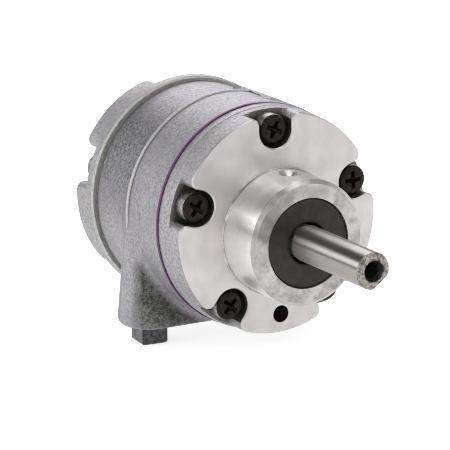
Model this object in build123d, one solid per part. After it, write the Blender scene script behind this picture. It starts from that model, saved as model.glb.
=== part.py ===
"""Air vane motor with a hub mount.

The shaft points along -Y and +Z is up. The origin lies on the shaft axis, in the plane of the
machined mounting face, where the turned hub stands up from it. The casting, its bore and both
end plates are centred above the shaft, so that the rotor runs eccentrically in the bore and
nearly touches it at the bottom.

All sizes are in millimetres. Places along the motor are counted as y, from the mounting face.
"""

import math
import os

from build123d import *

os.makedirs("parts", exist_ok=True)

# Rotor and bore
bore_offset = 2.0  # the bore and casting axis lies this far above the shaft axis
rotor_radius = 16.95
rotor_bore_gap = 0.05  # between rotor and bore at the bottom
rotor_end_gap = 0.1
vane_count = 4
first_vane_angle = 45.0
vane_thickness = 3.0
vane_height = 9.6
vane_tip_setback = 0.1  # a retracted vane lies this far inside the rotor's rim
vane_side_gap = 0.05
vane_root_gap = 0.3

# Casting between the end plates
body_length = 34.0
barrel_wall = 9.8  # from the bore to the outside of the barrel
band_length = 16.4  # the wider front band behind the drive end plate
band_step = 1.2  # the band stands this far above the barrel at its rear edge
band_taper = 0.2  # and this much less at its front
band_corner = 0.6
barrel_flare = 0.5  # the barrel widens by this much towards the rear
gasket_thickness = 0.8
gasket_lip = 0.3  # the front gasket stands out this far

# Port bosses at both sides of the casting, with ports that open downwards
boss_drop = 1.2  # the foot lies this far below the barrel
boss_inset = 6.15  # from the band's side to the port axis
boss_setback = 15.3  # from the casting's front to the port axes
boss_foot_radius = 8.6
boss_edge = 2.0
port_radius = 4.85
port_depth = 10.0
port_chamfer = 0.6
passage_radius = 3.2
passage_top = 1.0  # above the bore axis
passage_slot_height = 5.0
passage_slot_width = 12.0
passage_reach = 1.0  # the slots cut this far into the chamber

# Flat cast pad at the upper right of the casting
pad_angle = 66.0
pad_height = 1.4  # above the barrel
pad_width = 11.0
pad_depth = 8.0
pad_setback = 5.0
pad_length = 19.0

# Pipe plug in the left port
plug_square = 7.14
plug_square_height = 5.1
plug_corner = 0.5
plug_turn = -4.5
plug_thread_gap = 0.02
plug_thread_length = 7.0

# End plates: scalloped pads on a full round ring
drive_plate_thickness = 10.3
face_step = 0.3  # the pads lie this far inside the front band's edge
face_edge = 0.3
drive_ring = 5.0  # thickness of the ring behind the screw pockets
drive_ring_slope = 2.0
dead_ring = 4.0
dead_ring_step = 1.8  # this ring stands out beyond the front of the barrel
dead_ring_front_edge = 0.5
dead_ring_rear_edge = 1.0
pocket_gap = 0.85  # around a screw head
pocket_corner = 2.2
rim_tolerance = 0.1  # corners of the pads this near the rim are rounded
shaft_clearance = 0.55  # around the shaft where it passes through a plate

# Screws that hold the end plates
screw_count = 5
first_screw_angle = 92.0
screw_inset = 4.0  # from the barrel's outside to the screw axes
screw_radius = 2.4
screw_hole_gap = 0.2
thread_gap = 0.02
thread_reach = 10.0
hole_run_out = 1.0
screw_head_radius = 3.95
screw_head_height = 4.1
screw_head_dome = 0.5
cross_width = 1.15
cross_span = 4.8
cross_depth = 2.0

# Dowel pins between the casting and the end plates
dowel_angles = (128.0, 344.0)
dowel_inset = 1.2  # inside the circle of the screws
dowel_radius = 1.5
dowel_reach = 4.0
dowel_gap = 0.02

# Jack screw hole through the drive end plate, opposite the first screw
jack_radius = 2.3
jack_inset = 0.25  # inside the circle of the screws

# Turned hub
hub_radius = 16.6
hub_length = 14.8
hub_chamfer = 1.0
dimple_setback = 9.2  # from the front of the hub
dimple_radius = 3.3
dimple_depth = 1.9

# Shaft
shaft_radius = 4.7625
shaft_reach = 30.5  # out of the hub
shaft_chamfer = 0.5
seal_land_depth = 0.2  # the shaft is turned down under the seal, so that the bearing slides over
flat_angle = -52.0
flat_depth = 1.14
flat_length = 14.0
tip_hole_radius = 2.1
tip_hole_depth = 12.0
tip_hole_sink = 0.65

# Ball bearings
bearing_radius = 11.1125
bearing_width = 7.142
ball_radius = 1.984
groove_depth = 0.58  # how deep the balls lie in each race
ball_count = 7
ball_gap = 0.06
cage_wall = 1.3
cage_width = 5.2
shield_thickness = 0.3
shield_edge = 0.25
shield_gap = 0.15
dead_bearing_web = 2.0

# Shaft seal, let into the front of the hub
seal_step = 0.8  # the seal is this much larger than the bearing behind it
seal_recess = 0.4
seal_length = 6.0
seal_edge = 0.35
seal_mouth_gap = 0.84
seal_wall = 1.4
seal_lip_gap = 0.03
seal_lip_length = 1.6
seal_bearing_gap = 0.26
spring_wire_radius = 0.45

# Spring washer and cover behind the rear bearing
washer_gap = 0.2  # inside the bearing's outside
washer_width = 2.3
washer_thickness = 0.4
washer_height = 0.9
spigot_length = 0.96
cap_thickness = 2.5
cap_corner = 0.6
cap_rim = 4.7  # of the cover, outside the seal groove
cap_spigot_gap = 0.03
ring_seal_offset = 1.3  # from the bearing's outside to the middle of the seal groove
ring_seal_radius = 0.75
ring_groove_width = 1.9
cap_screw_count = 3
cap_screw_radius = 1.4
cap_screw_length = 6.0
cap_screw_head_radius = 2.3
cap_screw_head_height = 1.7
cap_socket_radius = 1.1
cap_socket_depth = 1.0

# Radii that follow from the sizes above
bore_radius = rotor_radius + bore_offset + rotor_bore_gap
barrel_radius = bore_radius + barrel_wall
band_rear_radius = barrel_radius + band_step
band_front_radius = band_rear_radius - band_taper
face_radius = band_front_radius - face_step
barrel_rear_radius = barrel_radius + barrel_flare
dead_ring_radius = barrel_radius + dead_ring_step
pad_distance = barrel_radius + pad_height
boss_bottom = barrel_radius + boss_drop
boss_spacing = 2 * (band_rear_radius - boss_inset)
screw_pitch_radius = barrel_radius - screw_inset
screw_hole_radius = screw_radius + screw_hole_gap
dowel_pitch_radius = screw_pitch_radius - dowel_inset
jack_pitch_radius = screw_pitch_radius - jack_inset
pocket_radius = screw_head_radius + pocket_gap
vane_tip = rotor_radius - vane_tip_setback
vane_root = vane_tip - vane_height
slot_root = vane_root - vane_root_gap
slot_width = vane_thickness + 2 * vane_side_gap
ball_pitch = (shaft_radius + bearing_radius) / 2
race_inner_radius = ball_pitch - ball_radius + groove_depth
race_outer_radius = ball_pitch + ball_radius - groove_depth
seal_radius = bearing_radius + seal_step
ring_seal_pitch = bearing_radius + ring_seal_offset
cap_radius = ring_seal_pitch + ring_groove_width / 2 + cap_rim
cap_screw_pitch = cap_radius - (cap_rim + cap_corner) / 2

# Places along the motor that follow from the sizes above
body_front = drive_plate_thickness + gasket_thickness
body_back = body_front + body_length
boss_y = body_front + boss_setback
pad_front = body_front + pad_setback
dead_front = body_back + gasket_thickness
dead_pocket_floor = dead_front + dead_ring
dead_bearing_front = dead_front + dead_bearing_web
dead_bearing_back = dead_bearing_front + bearing_width
washer_back = dead_bearing_back + washer_height
dead_back = washer_back + spigot_length
rotor_front = drive_plate_thickness + rotor_end_gap
rotor_back = dead_front - rotor_end_gap
pocket_floor = drive_plate_thickness - drive_ring
hub_front = -hub_length
seal_front = hub_front + seal_recess
seal_back = seal_front + seal_length
drive_bearing_front = seal_back + seal_bearing_gap
drive_bearing_back = drive_bearing_front + bearing_width
shaft_tip = hub_front - shaft_reach
shaft_back = dead_bearing_back + shaft_chamfer
seal_land_radius = shaft_radius - seal_land_depth

# Angles of the screws and the jack screw hole
screw_places = [first_screw_angle + 360.0 * step / screw_count for step in range(screw_count)]
jack_angle = first_screw_angle + 180.0


def polar(radius, angle):
    """X and Z of a point on a circle round the origin."""
    turn = math.radians(angle)
    return radius * math.cos(turn), radius * math.sin(turn)


def rod(radius, front, back):
    """A cylinder on the shaft axis from one y to another."""
    return Pos(0, (front + back) / 2, 0) * Rot(90, 0, 0) * Cylinder(radius, back - front)


def turned(outline):
    """A closed outline of (radius, y) points, turned about the shaft axis."""
    return revolve(make_face(Polyline(*outline, close=True)), Axis.Y)


def on_casting(shape):
    """Moves a shape from the shaft axis to the axis of the casting."""
    return Pos(0, 0, bore_offset) * shape


def casting_rod(radius, front, back, pitch, angle):
    """A cylinder along Y on a pitch circle of the casting."""
    x, z = polar(pitch, angle)
    return on_casting(Pos(x, 0, z) * rod(radius, front, back))


def casting_rods(radius, front, back, pitch, angles):
    """One such cylinder at each angle."""
    return [casting_rod(radius, front, back, pitch, angle) for angle in angles]


def block(x_range, y_range, z_range):
    """A box between two corners."""
    sizes = [high - low for low, high in (x_range, y_range, z_range)]
    middle = [(low + high) / 2 for low, high in (x_range, y_range, z_range)]
    return Pos(*middle) * Box(*sizes)


def turned_to(angle, shape):
    """Turns a shape about the shaft axis so that its +X side points at an angle in the XZ plane."""
    return Rot(0, -angle, 0) * shape


def pad_outline():
    """The scalloped outline of an end plate's pads, as seen along the shaft."""
    outline = Rot(0, 0, first_screw_angle) * Circle(face_radius)
    reach = 2 * pocket_radius
    slot = Pos(screw_pitch_radius, 0) * Circle(pocket_radius)
    slot += Pos(screw_pitch_radius + reach / 2, 0) * Rectangle(reach, 2 * pocket_radius)
    for angle in screw_places:
        outline -= Rot(0, 0, angle) * slot
    rim = face_radius - rim_tolerance
    corners = [v for v in outline.vertices() if Vector(v.X, v.Y).length > rim]
    return fillet(corners, pocket_corner)


def pads(front, back):
    """The raised pads between two y places."""
    plane = Plane(origin=(0, front, bore_offset), x_dir=(1, 0, 0), z_dir=(0, -1, 0))
    return extrude(plane * pad_outline(), amount=front - back)


def cap_places():
    """X and Z of each screw of the rear cover."""
    return [polar(cap_screw_pitch, 90.0 + 360.0 * step / cap_screw_count) for step in range(cap_screw_count)]


def bearing_seat(front, back):
    """The bore that holds a bearing."""
    return rod(bearing_radius, front, back)


def make_drive_end_plate():
    ring = turned([
        (0, pocket_floor),
        (face_radius, pocket_floor),
        (band_front_radius, pocket_floor + drive_ring_slope),
        (band_front_radius, drive_plate_thickness),
        (0, drive_plate_thickness),
    ])
    raised = pads(0, pocket_floor)
    raised = chamfer(raised.edges().group_by(Axis.Y)[0], face_edge)
    plate = on_casting(ring) + raised
    plate -= rod(shaft_radius + shaft_clearance, 0, drive_plate_thickness)
    plate -= casting_rods(
        screw_hole_radius, pocket_floor, drive_plate_thickness, screw_pitch_radius, screw_places)
    plate -= casting_rod(jack_radius, 0, drive_plate_thickness, jack_pitch_radius, jack_angle)
    plate -= casting_rods(
        dowel_radius + dowel_gap, drive_plate_thickness - dowel_reach, drive_plate_thickness,
        dowel_pitch_radius, dowel_angles)
    return plate


def make_hub():
    """The turned hub in front of the plate, with the seats of the seal and the drive end bearing."""
    hub = turned([
        (0, hub_front),
        (hub_radius - hub_chamfer, hub_front),
        (hub_radius, hub_front + hub_chamfer),
        (hub_radius, 0),
        (0, 0),
    ])
    hub -= rod(seal_radius, hub_front, seal_back)
    hub -= bearing_seat(seal_back, drive_bearing_back)
    hub -= rod(shaft_radius + shaft_clearance, drive_bearing_back, 0)
    dimple = Cone(0, dimple_radius, dimple_depth)
    return hub - Pos(0, hub_front + dimple_setback, hub_radius - dimple_depth / 2) * dimple


def make_gasket(outer_radius, front):
    back = front + gasket_thickness
    gasket = on_casting(rod(outer_radius, front, back) - rod(bore_radius, front, back))
    gasket -= casting_rods(screw_hole_radius, front, back, screw_pitch_radius, screw_places)
    gasket -= casting_rods(dowel_radius + dowel_gap, front, back, dowel_pitch_radius, dowel_angles)
    return gasket


def make_port_bosses():
    """Both bosses and the flat foot between them.

    They taper until they are flush with the front band at the height of the bore, and end there
    under a round arch.
    """
    spread = boss_spacing / 2 + boss_foot_radius - band_rear_radius
    draft = math.degrees(math.atan(spread / boss_bottom))
    foot = SlotCenterToCenter(boss_spacing, 2 * boss_foot_radius)
    plane = Plane(origin=(0, boss_y, bore_offset - boss_bottom))
    bosses = extrude(plane * foot, amount=boss_bottom, taper=draft)
    bosses = fillet(bosses.edges().group_by(Axis.Z)[0], boss_edge)
    arch = Pos(0, boss_y, 0) * Rot(0, 90, 0) * Cylinder(boss_foot_radius - spread, 2 * band_rear_radius)
    return bosses + on_casting(arch & rod(band_rear_radius, body_front, body_back))


def make_pad():
    depth = (pad_distance - pad_depth, pad_distance)
    pad = block(depth, (pad_front, pad_front + pad_length), (-pad_width / 2, pad_width / 2))
    return on_casting(turned_to(pad_angle, pad))


def make_passage(side):
    """A port with its passage up to the chamber, at the left (-1) or the right (1)."""
    x = side * boss_spacing / 2
    bottom = bore_offset - boss_bottom
    top = bore_offset + passage_top
    port = Pos(x, boss_y, bottom + port_depth / 2) * Cylinder(port_radius, port_depth)
    mouth = Cone(port_radius + port_chamfer, port_radius, port_chamfer)
    port += Pos(x, boss_y, bottom + port_chamfer / 2) * mouth
    height = top - bottom
    port += Pos(x, boss_y, bottom + height / 2) * Cylinder(passage_radius, height)
    reach = sorted((x, side * (bore_radius - passage_reach)))
    width = (boss_y - passage_slot_width / 2, boss_y + passage_slot_width / 2)
    return port + block(reach, width, (top - passage_slot_height, top))


def make_body():
    step = body_front + band_length
    outline = turned([
        (0, body_front),
        (band_front_radius, body_front),
        (band_rear_radius, step - band_corner),
        (band_rear_radius - band_corner, step),
        (barrel_radius, step),
        (barrel_rear_radius, body_back),
        (0, body_back),
    ])
    body = on_casting(outline) + make_port_bosses() + make_pad()
    body -= on_casting(rod(bore_radius, body_front, body_back))
    for side in (-1, 1):
        body -= make_passage(side)
    depth = thread_reach + hole_run_out
    hole = screw_radius + thread_gap
    pin_hole = dowel_radius + dowel_gap
    for low, high, pin_low, pin_high in (
        (body_front, body_front + depth, body_front, body_front + dowel_reach),
        (body_back - depth, body_back, body_back - dowel_reach, body_back),
    ):
        body -= casting_rods(hole, low, high, screw_pitch_radius, screw_places)
        body -= casting_rods(pin_hole, pin_low, pin_high, dowel_pitch_radius, dowel_angles)
    return body


def make_dead_end_plate():
    plate = on_casting(turned([
        (0, dead_front),
        (dead_ring_radius - dead_ring_front_edge, dead_front),
        (dead_ring_radius, dead_front + dead_ring_front_edge),
        (dead_ring_radius, dead_pocket_floor - dead_ring_rear_edge),
        (dead_ring_radius - dead_ring_rear_edge, dead_pocket_floor),
        (0, dead_pocket_floor),
    ]))
    raised = pads(dead_pocket_floor, dead_back)
    plate += chamfer(raised.edges().group_by(Axis.Y)[-1], face_edge)
    plate -= rod(shaft_radius + shaft_clearance, dead_front, dead_bearing_front)
    plate -= bearing_seat(dead_bearing_front, dead_back)
    plate -= casting_rods(
        screw_hole_radius, dead_front, dead_pocket_floor, screw_pitch_radius, screw_places)
    plate -= casting_rods(
        dowel_radius + dowel_gap, dead_front, dead_front + dowel_reach, dowel_pitch_radius, dowel_angles)
    hole = cap_screw_length + hole_run_out
    for x, z in cap_places():
        plate -= Pos(x, 0, z) * rod(cap_screw_radius + thread_gap, dead_back - hole, dead_back)
    return plate


def make_screw(seat, direction):
    """One plate screw: its head lies in front of the seat and its shank runs along direction."""
    plate_depth = drive_ring if direction > 0 else dead_ring
    shank = plate_depth + gasket_thickness + thread_reach
    screw = turned([
        (0, -screw_head_height - screw_head_dome),
        (screw_head_radius - 2 * screw_head_dome, -screw_head_height - screw_head_dome),
        (screw_head_radius, -screw_head_height + screw_head_dome),
        (screw_head_radius, 0),
        (screw_radius, 0),
        (screw_radius, shank - screw_head_dome),
        (screw_radius - screw_head_dome, shank),
        (0, shank),
    ])
    front = -screw_head_height - screw_head_dome
    arm = (-cross_width / 2, cross_width / 2)
    span = (-cross_span / 2, cross_span / 2)
    depth = (front, front + cross_depth)
    screw -= block(arm, depth, span) + block(span, depth, arm)
    turn = Rot(0, 0, 0) if direction > 0 else Rot(180, 0, 0)
    return Pos(0, seat, 0) * turn * screw


def make_screws(seat, direction):
    screw = make_screw(seat, direction)
    placed = []
    for number, angle in enumerate(screw_places):
        x, z = polar(screw_pitch_radius, angle)
        twist = turned_to(angle * (number + 1), screw)
        placed.append(on_casting(Pos(x, 0, z) * twist))
    return placed


def make_dowels(seam):
    """The two dowel pins across a gasket whose middle is at seam."""
    reach = dowel_reach + gasket_thickness / 2 - dowel_gap
    return casting_rods(dowel_radius, seam - reach, seam + reach, dowel_pitch_radius, dowel_angles)


def make_port_plug():
    bottom = bore_offset - boss_bottom
    square = Box(plug_square, plug_square, plug_square_height)
    square = chamfer(square.edges().group_by(Axis.Z)[0], plug_corner)
    thread = Cylinder(port_radius - plug_thread_gap, plug_thread_length)
    plug = Pos(0, 0, -plug_square_height / 2) * square + Pos(0, 0, plug_thread_length / 2) * thread
    return Pos(-boss_spacing / 2, boss_y, bottom) * Rot(0, 0, plug_turn) * plug


def make_shaft():
    shaft = turned([
        (0, shaft_tip),
        (shaft_radius - shaft_chamfer, shaft_tip),
        (shaft_radius, shaft_tip + shaft_chamfer),
        (shaft_radius, seal_front),
        (seal_land_radius, seal_front),
        (seal_land_radius, drive_bearing_front),
        (shaft_radius, drive_bearing_front),
        (shaft_radius, shaft_back - shaft_chamfer),
        (shaft_radius - shaft_chamfer, shaft_back),
        (0, shaft_back),
    ])
    flat = shaft_radius - flat_depth
    cut = block((flat, 2 * shaft_radius), (shaft_tip, shaft_tip + flat_length), (-shaft_radius, shaft_radius))
    shaft -= turned_to(flat_angle, cut)
    return shaft - turned([
        (0, shaft_tip),
        (tip_hole_radius + tip_hole_sink, shaft_tip),
        (tip_hole_radius, shaft_tip + 2 * tip_hole_sink),
        (tip_hole_radius, shaft_tip + tip_hole_depth),
        (0, shaft_tip + tip_hole_depth + tip_hole_radius / 2),
    ])


def vane_angles():
    return [first_vane_angle + 360.0 * step / vane_count for step in range(vane_count)]


def make_rotor():
    rotor = rod(rotor_radius, rotor_front, rotor_back) - rod(shaft_radius, rotor_front, rotor_back)
    half = slot_width / 2
    slot = block((slot_root, 2 * rotor_radius), (rotor_front, rotor_back), (-half, half))
    for angle in vane_angles():
        rotor -= turned_to(angle, slot)
    return rotor


def make_vane(angle):
    half = vane_thickness / 2
    vane = block((vane_root, rotor_radius), (rotor_front, rotor_back), (-half, half))
    return turned_to(angle, vane & rod(vane_tip, rotor_front, rotor_back))


def make_outer_race(front):
    back = front + bearing_width
    race = rod(bearing_radius, front, back) - rod(race_outer_radius, front, back)
    return race - ball_groove(front)


def make_inner_race(front):
    back = front + bearing_width
    race = rod(race_inner_radius, front, back) - rod(shaft_radius, front, back)
    return race - ball_groove(front)


def ball_groove(front):
    middle = front + bearing_width / 2
    return Pos(0, middle, 0) * Rot(90, 0, 0) * Torus(ball_pitch, ball_radius + ball_gap)


def ball_places(front):
    middle = front + bearing_width / 2
    spots = [polar(ball_pitch, 360.0 * step / ball_count) for step in range(ball_count)]
    return [Pos(x, middle, z) for x, z in spots]


def make_balls(front):
    return [place * Sphere(ball_radius) for place in ball_places(front)]


def make_cage(front):
    middle = front + bearing_width / 2
    low = middle - cage_width / 2
    high = middle + cage_width / 2
    cage = rod(ball_pitch + cage_wall / 2, low, high) - rod(ball_pitch - cage_wall / 2, low, high)
    pocket = Pos(ball_pitch, 0, 0) * Rot(0, 90, 0) * Cylinder(ball_radius + ball_gap, 2 * ball_radius)
    for step in range(ball_count):
        cage -= Pos(0, middle, 0) * turned_to(360.0 * step / ball_count, pocket)
    return cage


def make_shields(front):
    """Two thin discs in the outer race, one at each side of the balls."""
    discs = []
    for start in (front + shield_edge, front + bearing_width - shield_edge - shield_thickness):
        end = start + shield_thickness
        hole = rod(race_inner_radius + shield_gap, start, end)
        discs.append(rod(race_outer_radius, start, end) - hole)
    return discs


def make_shaft_seal():
    """A cased lip seal: a flat front, an outer shell and a lip that reaches the shaft."""
    lip = seal_land_radius + seal_lip_gap
    web_back = seal_front + 2 * seal_wall
    lip_back = web_back + seal_lip_length
    return turned([
        (shaft_radius + seal_mouth_gap, seal_front),
        (seal_radius - seal_edge, seal_front),
        (seal_radius, seal_front + seal_edge),
        (seal_radius, seal_back),
        (seal_radius - seal_wall, seal_back),
        (seal_radius - seal_wall, web_back),
        (lip + seal_wall, web_back),
        (lip + seal_wall, lip_back),
        (lip, lip_back),
        (lip, web_back),
    ])


def make_seal_spring():
    """The garter spring, drawn as a ring, on the back of the lip."""
    pitch = seal_land_radius + seal_lip_gap + seal_wall + spring_wire_radius
    place = seal_front + 2 * seal_wall + spring_wire_radius
    return Pos(0, place, 0) * Rot(90, 0, 0) * Torus(pitch, spring_wire_radius)


def make_spring_washer():
    """A dished spring washer between the rear bearing and the cover."""
    outer = bearing_radius - washer_gap
    inner = outer - washer_width
    return turned([
        (outer, dead_bearing_back),
        (outer, dead_bearing_back + washer_thickness),
        (inner, washer_back),
        (inner, washer_back - washer_thickness),
    ])


def make_end_cap():
    back = dead_back + cap_thickness
    flange = rod(cap_radius, dead_back, back)
    flange = chamfer(flange.edges().group_by(Axis.Y)[-1], cap_corner)
    cap = flange + rod(bearing_radius - cap_spigot_gap, washer_back, dead_back)
    depth = 2 * ring_seal_radius
    half = ring_groove_width / 2
    groove = rod(ring_seal_pitch + half, dead_back, dead_back + depth)
    groove -= rod(ring_seal_pitch - half, dead_back, dead_back + depth)
    cap -= groove
    for x, z in cap_places():
        cap -= Pos(x, 0, z) * rod(cap_screw_radius + screw_hole_gap, dead_back, back)
    return cap


def make_ring_seal():
    place = dead_back + ring_seal_radius
    return Pos(0, place, 0) * Rot(90, 0, 0) * Torus(ring_seal_pitch, ring_seal_radius)


def make_cap_screws():
    seat = dead_back + cap_thickness
    top = seat + cap_screw_head_height
    edge = cap_corner
    screw = turned([
        (0, dead_back - cap_screw_length),
        (cap_screw_radius, dead_back - cap_screw_length),
        (cap_screw_radius, seat),
        (cap_screw_head_radius, seat),
        (cap_screw_head_radius, top - edge),
        (cap_screw_head_radius - edge, top),
        (0, top),
    ])
    plane = Plane(origin=(0, top, 0), x_dir=(1, 0, 0), z_dir=(0, -1, 0))
    socket = extrude(plane * RegularPolygon(cap_socket_radius, 6), amount=cap_socket_depth)
    screw -= socket
    return [Pos(x, 0, z) * screw for x, z in cap_places()]


def save(name, shape):
    """Writes one node. A list of shapes becomes a group of separate solids."""
    solids = [solid for item in shape for solid in item.solids()] if isinstance(shape, list) else shape.solids()
    whole = solids[0] if len(solids) == 1 else Compound(children=solids)
    export_step(whole, f"parts/{name}.step")


save("drive_end_plate", make_drive_end_plate())
save("hub", make_hub())
save("drive_gasket", make_gasket(band_front_radius + gasket_lip, drive_plate_thickness))
save("body", make_body())
save("dead_gasket", make_gasket(barrel_rear_radius, body_back))
save("dead_end_plate", make_dead_end_plate())
save("front_screws", make_screws(pocket_floor, 1))
save("rear_screws", make_screws(dead_pocket_floor, -1))
save("front_dowels", make_dowels(drive_plate_thickness + gasket_thickness / 2))
save("rear_dowels", make_dowels(body_back + gasket_thickness / 2))
save("port_plug", make_port_plug())
save("shaft_seal", make_shaft_seal())
save("seal_spring", make_seal_spring())
save("bearing_spring", make_spring_washer())
save("end_cap", make_end_cap())
save("end_cap_seal", make_ring_seal())
save("end_cap_screws", make_cap_screws())
save("shaft", make_shaft())
save("rotor", make_rotor())
for vane_number, vane_angle in enumerate(vane_angles(), start=1):
    save(f"vane_{vane_number}", make_vane(vane_angle))
for bearing_name, bearing_front in (("front", drive_bearing_front), ("rear", dead_bearing_front)):
    save(f"{bearing_name}_bearing_outer", make_outer_race(bearing_front))
    save(f"{bearing_name}_bearing_inner", make_inner_race(bearing_front))
    save(f"{bearing_name}_bearing_balls", make_balls(bearing_front))
    save(f"{bearing_name}_bearing_cage", make_cage(bearing_front))
    save(f"{bearing_name}_bearing_shields", make_shields(bearing_front))
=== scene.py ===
"""Looks of the air vane motor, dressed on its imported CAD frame.

The frame is the one of the CAD model: the shaft points along -Y and +Z is up. Lengths are written
in millimetres, and MM turns them into Blender's metres.
"""

import math

import bmesh
import bpy
from mathutils import Matrix, Vector


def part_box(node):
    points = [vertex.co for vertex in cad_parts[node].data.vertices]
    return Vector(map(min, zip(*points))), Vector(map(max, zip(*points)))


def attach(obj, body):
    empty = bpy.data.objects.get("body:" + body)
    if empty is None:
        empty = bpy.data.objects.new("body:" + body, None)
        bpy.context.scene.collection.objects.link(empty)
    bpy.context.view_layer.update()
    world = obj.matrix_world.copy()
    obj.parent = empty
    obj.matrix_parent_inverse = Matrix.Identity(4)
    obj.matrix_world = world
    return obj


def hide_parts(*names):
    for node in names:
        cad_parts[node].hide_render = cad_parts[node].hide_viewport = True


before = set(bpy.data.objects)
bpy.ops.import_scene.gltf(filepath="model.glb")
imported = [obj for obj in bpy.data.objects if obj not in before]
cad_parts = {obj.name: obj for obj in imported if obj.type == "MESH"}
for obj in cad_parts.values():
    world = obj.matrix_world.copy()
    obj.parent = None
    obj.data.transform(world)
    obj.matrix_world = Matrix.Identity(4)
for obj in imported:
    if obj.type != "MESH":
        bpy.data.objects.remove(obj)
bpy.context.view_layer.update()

MM = 0.001

# Height of the housing's axis over the shaft's axis
CASTING_HEIGHT = 2.0

# Screws of the end plates: directions, circle, floors and radius of their pockets
SCREW_ANGLES = [92.0 + 72.0 * step for step in range(5)]
SCREW_CIRCLE = 24.8
FRONT_SEAT = 5.3
REAR_SEAT = 49.9
POCKET_RADIUS = 4.8

# Hub: its radius, its front face, the bore of the seal, the chamfer, and the dimple on top of it
HUB_RADIUS = 16.6
HUB_FRONT = -14.8
HUB_BORE = 11.8
CHAMFER_LENGTH = 1.0
CHAMFER_RADIUS = 15.4
DIMPLE_FRONT = -9.0
DIMPLE_BACK = -2.2
DIMPLE_FLOOR = 14.0

# Shaft: its tip, the length of the chamfer there, and the hole in its end with a wider mouth
SHAFT_TIP = -45.3
TIP_CHAMFER = 1.5
TIP_HOLE_END = -33.0
TIP_HOLE_RADIUS = 2.1
TIP_MOUTH_RADIUS = 2.7

# Housing: the wide band in front of the narrower barrel, and the rear face
BAND_REAR = 27.5
BAND_RADIUS = 30.0
HOUSING_BACK = 44.9
PLATE_RADIUS = 29.8

# Flat pad at the upper right of the housing: direction, distance from the axis, half width, both
# ends, height of its sides and of its front end
PAD_ANGLE = 66.0
PAD_DISTANCE = 30.2
PAD_HALF = 5.5
PAD_FRONT = 16.1
PAD_BACK = 35.1
PAD_SIDE = 2.5
PAD_STEP = 0.7

# Dead end plate: the back of its ring, the ledge in front of its pads, and the back of the plate
RING_BACK = 47.0
LEDGE_FRONT = 48.8
LEDGE_BACK = 49.95
PLATE_BACK = 56.0

# Holes with a thread: X and Z of the jack screw's, X and Y of the open port
JACK_HOLE = (0.857, -22.535)
JACK_RADIUS = 2.3
PORT = (23.85, 26.4)
PORT_RADIUS = 4.85


# Materials

WHITE = (1.0, 1.0, 1.0)


def times(color, factor):
    """A colour made darker or brighter."""
    return tuple(factor * channel for channel in color)


def material_tree(name):
    """A new material with its node tree and its main shader."""
    material = bpy.data.materials.new(name)
    material.use_nodes = True
    tree = material.node_tree
    return material, tree, tree.nodes["Principled BSDF"]


def node(tree, kind, **values):
    """A new node whose properties and sockets are set by name."""
    made = tree.nodes.new(kind)
    for key, value in values.items():
        if hasattr(made, key):
            setattr(made, key, value)
        else:
            made.inputs[key.replace("_", " ")].default_value = value
    return made


def place(tree):
    """The place of a point in the frame of the CAD model."""
    return tree.nodes.new("ShaderNodeTexCoord").outputs["Object"]


def channels(tree, vector):
    """The X, Y and Z of a vector."""
    parts = node(tree, "ShaderNodeSeparateXYZ")
    tree.links.new(vector, parts.inputs[0])
    return parts.outputs


def noise(tree, vector, size_mm, detail=2.0, roughness=0.5):
    """Noise with grains of about that size."""
    scale = 1.0 / (size_mm * MM)
    made = node(tree, "ShaderNodeTexNoise", Scale=scale, Detail=detail, Roughness=roughness)
    tree.links.new(vector, made.inputs["Vector"])
    return made.outputs["Fac"]


def stretch(tree, value, low, high, to_low=0.0, to_high=1.0):
    """Maps a range of values to another one."""
    made = node(tree, "ShaderNodeMapRange")
    made.inputs["From Min"].default_value = low
    made.inputs["From Max"].default_value = high
    made.inputs["To Min"].default_value = to_low
    made.inputs["To Max"].default_value = to_high
    tree.links.new(value, made.inputs["Value"])
    return made.outputs["Result"]


def stretch_mm(tree, value, low, high, to_low=0.0, to_high=1.0):
    """Maps a range of lengths, given in millimetres, to another range."""
    return stretch(tree, value, low * MM, high * MM, to_low, to_high)


def combined(tree, operation, first, second):
    """Two values put together by an operation."""
    made = node(tree, "ShaderNodeMath", operation=operation)
    tree.links.new(first, made.inputs[0])
    tree.links.new(second, made.inputs[1])
    return made.outputs[0]


def product(tree, *values):
    """The product of two or more values."""
    result = values[0]
    for value in values[1:]:
        result = combined(tree, "MULTIPLY", result, value)
    return result


def blend(tree, factor, first, second):
    """A colour between two, which are colours or sockets."""
    made = node(tree, "ShaderNodeMix", data_type="RGBA")
    tree.links.new(factor, made.inputs["Factor"])
    for socket, value in ((made.inputs[6], first), (made.inputs[7], second)):
        if isinstance(value, tuple):
            socket.default_value = (*value, 1.0)
        else:
            tree.links.new(value, socket)
    return made.outputs[2]


def bump(tree, height, depth_mm, under=None):
    """A bump of that depth, on top of another one."""
    made = node(tree, "ShaderNodeBump", Strength=1.0, Distance=depth_mm * MM)
    tree.links.new(height, made.inputs["Height"])
    if under is not None:
        tree.links.new(under, made.inputs["Normal"])
    return made.outputs["Normal"]


def soft_edges(tree, radius_mm):
    """Normals that round the edges of a piece by that radius."""
    return node(tree, "ShaderNodeBevel", samples=6, Radius=radius_mm * MM).outputs["Normal"]


def distance_from(tree, at, height):
    """The distance from an axis along Y that lies at X 0 and that height."""
    shifted = node(tree, "ShaderNodeVectorMath", operation="SUBTRACT")
    tree.links.new(at, shifted.inputs[0])
    shifted.inputs[1].default_value = (0.0, 0.0, height * MM)
    flat = node(tree, "ShaderNodeVectorMath", operation="MULTIPLY")
    tree.links.new(shifted.outputs[0], flat.inputs[0])
    flat.inputs[1].default_value = (1.0, 0.0, 1.0)
    length = node(tree, "ShaderNodeVectorMath", operation="LENGTH")
    tree.links.new(flat.outputs[0], length.inputs[0])
    return length.outputs["Value"]


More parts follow.
